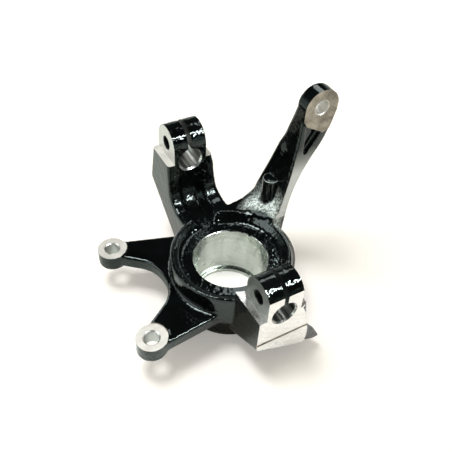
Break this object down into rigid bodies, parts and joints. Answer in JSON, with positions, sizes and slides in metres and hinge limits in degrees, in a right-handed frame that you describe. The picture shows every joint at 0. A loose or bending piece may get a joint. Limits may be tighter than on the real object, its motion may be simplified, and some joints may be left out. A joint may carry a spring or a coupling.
{
  "type": "steering knuckle",
  "caption": "Cast steering knuckle with a bearing bore, dished flange, pinch clamps for ball joints, caliper ears and a steering arm.",
  "frame": {"origin": "on the wheel bearing axis, at the outboard end face of the barrel that the part stands on", "axes": "+Z along the bearing axis towards the inboard dished face, +Y towards the upper ball joint clamp, X along the pinch bolts with the steering arm on the +X side"},
  "size_m": [0.1715, 0.1696, 0.1613],
  "materials": {
    "casting": "semi-gloss black paint over sand-cast iron, with bare machined bores, end faces and pads"
  },
  "bodies": {
    "root": {"steering_knuckle": "casting"}
  },
  "joints": []
}
